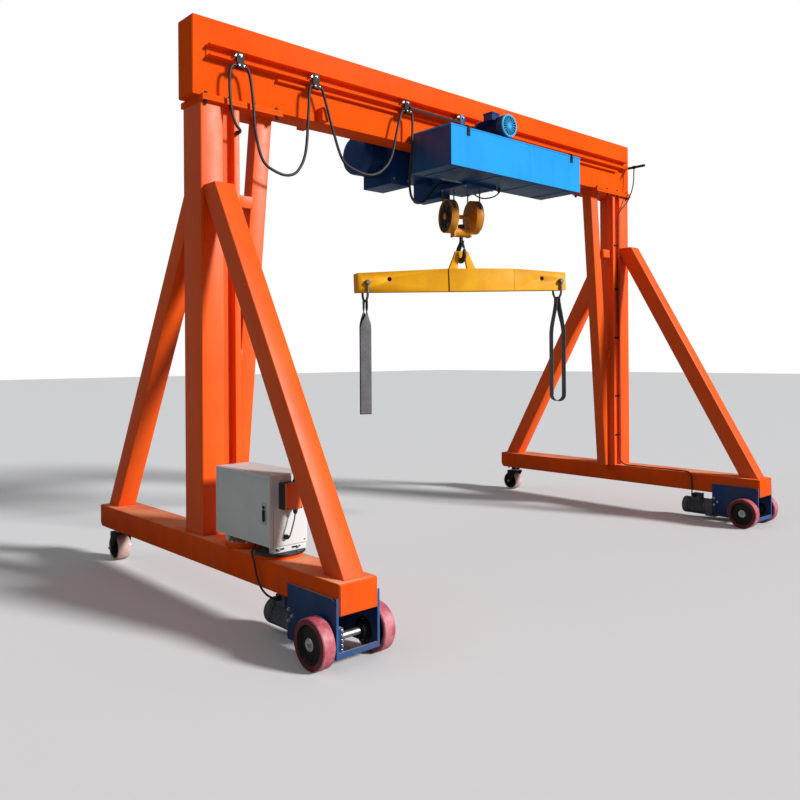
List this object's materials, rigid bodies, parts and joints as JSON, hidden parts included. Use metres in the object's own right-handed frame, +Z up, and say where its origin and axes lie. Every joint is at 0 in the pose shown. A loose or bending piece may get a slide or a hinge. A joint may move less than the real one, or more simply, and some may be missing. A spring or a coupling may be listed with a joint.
{
  "type": "gantry crane",
  "caption": "Portal gantry crane: box girder on two braced A-shaped legs with driven wheels and casters, trolley hoist, hook block and spreader beam.",
  "frame": {"origin": "on the floor, in the middle of the crane's box", "axes": "+X along the girder from the leg with the control cabinet, +Y from the drive wheels to the casters, +Z up"},
  "size_m": [5.235, 3.082, 3.765],
  "materials": {
    "orange_paint": "gloss paint",
    "navy_paint": "satin paint",
    "blue_paint": "gloss paint",
    "motor_paint": "satin paint",
    "cabinet_paint": "powder coat",
    "black_metal": "satin",
    "tread": "cast polyurethane",
    "black_rubber": "matte",
    "gland_plastic": "matte",
    "receiver_plastic": "moulded",
    "bright_steel": "turned",
    "rope_steel": "greased strands",
    "block_paint": "worn paint",
    "dark_iron": "painted",
    "beam_paint": "worn paint",
    "shackle_steel": "galvanised",
    "sling_web": "woven web"
  },
  "bodies": {
    "frame": {"girder": "orange_paint", "flange_plates": "orange_paint", "leg_top_plates": "orange_paint", "rail_webs": "orange_paint", "rail_flanges": "orange_paint", "end_stops": "orange_paint", "cable_arm": "black_metal", "base_beams": "orange_paint", "columns": "orange_paint", "inner_posts": "orange_paint", "struts": "orange_paint", "rungs": "orange_paint", "braces": "orange_paint", "cabinet": "cabinet_paint", "cabinet_rails": "cabinet_paint", "pedestals": "orange_paint", "cabinet_disc": "black_rubber", "radio_receiver": "receiver_plastic", "cable_glands": "gland_plastic", "drive_brackets": "navy_paint", "gear_housings": "navy_paint", "travel_motors": "motor_paint", "caster_plates": "black_metal", "festoon_clamp": "black_metal", "leg_cable": "black_rubber", "near_motor_cable": "black_rubber", "far_motor_cable": "black_rubber", "receiver_lead": "black_rubber"},
    "door": {"cabinet_door": "cabinet_paint"},
    "near_drive": {"near_wheels": "tread"},
    "far_drive": {"far_wheels": "tread"},
    "near_swivel": {"near_caster_fork": "black_metal"},
    "near_roller": {"near_caster_wheel": "tread"},
    "far_swivel": {"far_caster_fork": "black_metal"},
    "far_roller": {"far_caster_wheel": "tread"},
    "carrier": {"festoon_carrier": "black_metal", "festoon_loop_1": "black_rubber"},
    "trolley": {"trolley_box": "blue_paint", "hoist_body": "navy_paint", "hoist_motor": "navy_paint", "trolley_frame": "navy_paint", "trolley_wheels": "bright_steel", "trolley_motor": "navy_paint", "festoon_tow": "black_metal", "festoon_loop_2": "black_rubber", "hoist_cable": "black_rubber", "box_cable": "black_rubber", "wire_ropes": "rope_steel"},
    "block": {"hook_block": "block_paint", "sheaves": "dark_iron"},
    "spreader": {"hook": "dark_iron", "spreader_beam": "beam_paint", "lifting_lug": "beam_paint", "shackles": "shackle_steel", "slings": "sling_web"}
  },
  "joints": [
    {"name": "trolley_travel", "type": "slide", "parent": "frame", "child": "trolley", "axis": [1, 0, 0], "range_m": [-0.83, 0.47], "deforming": ["festoon_loop_2"]},
    {"name": "carrier_travel", "type": "slide", "parent": "frame", "child": "carrier", "axis": [1, 0, 0], "range_m": [-0.415, 0.235], "deforming": ["festoon_loop_1"]},
    {"name": "hook_lift", "type": "slide", "parent": "trolley", "child": "block", "axis": [0, 0, 1], "range_m": [-0.9, 0.02], "deforming": ["wire_ropes"]},
    {"name": "hook_swivel", "type": "hinge", "parent": "block", "child": "spreader", "pos_m": [0.05, 0.046, 2.453], "axis": [0, 0, 1], "continuous": true},
    {"name": "near_drive_roll", "type": "hinge", "parent": "frame", "child": "near_drive", "pos_m": [-2.382, -1.409, 0.132], "axis": [1, 0, 0], "continuous": true},
    {"name": "far_drive_roll", "type": "hinge", "parent": "frame", "child": "far_drive", "pos_m": [2.382, -1.409, 0.132], "axis": [1, 0, 0], "continuous": true},
    {"name": "near_caster_swivel", "type": "hinge", "parent": "frame", "child": "near_swivel", "pos_m": [-2.382, 1.396, 0.24], "axis": [0, 0, 1], "continuous": true},
    {"name": "near_caster_roll", "type": "hinge", "parent": "near_swivel", "child": "near_roller", "pos_m": [-2.382, 1.441, 0.1], "axis": [1, 0, 0], "continuous": true},
    {"name": "far_caster_swivel", "type": "hinge", "parent": "frame", "child": "far_swivel", "pos_m": [2.382, 1.396, 0.24], "axis": [0, 0, 1], "continuous": true},
    {"name": "far_caster_roll", "type": "hinge", "parent": "far_swivel", "child": "far_roller", "pos_m": [2.382, 1.441, 0.1], "axis": [1, 0, 0], "continuous": true},
    {"name": "cabinet_door_open", "type": "hinge", "parent": "frame", "child": "door", "pos_m": [-2.4875, -0.295, 0.711], "axis": [0, 0, -1], "range_deg": [0, 110]}
  ],
  "couplings": [
    {"joint": "carrier_travel", "follows": "trolley_travel", "ratio": 0.5}
  ]
}
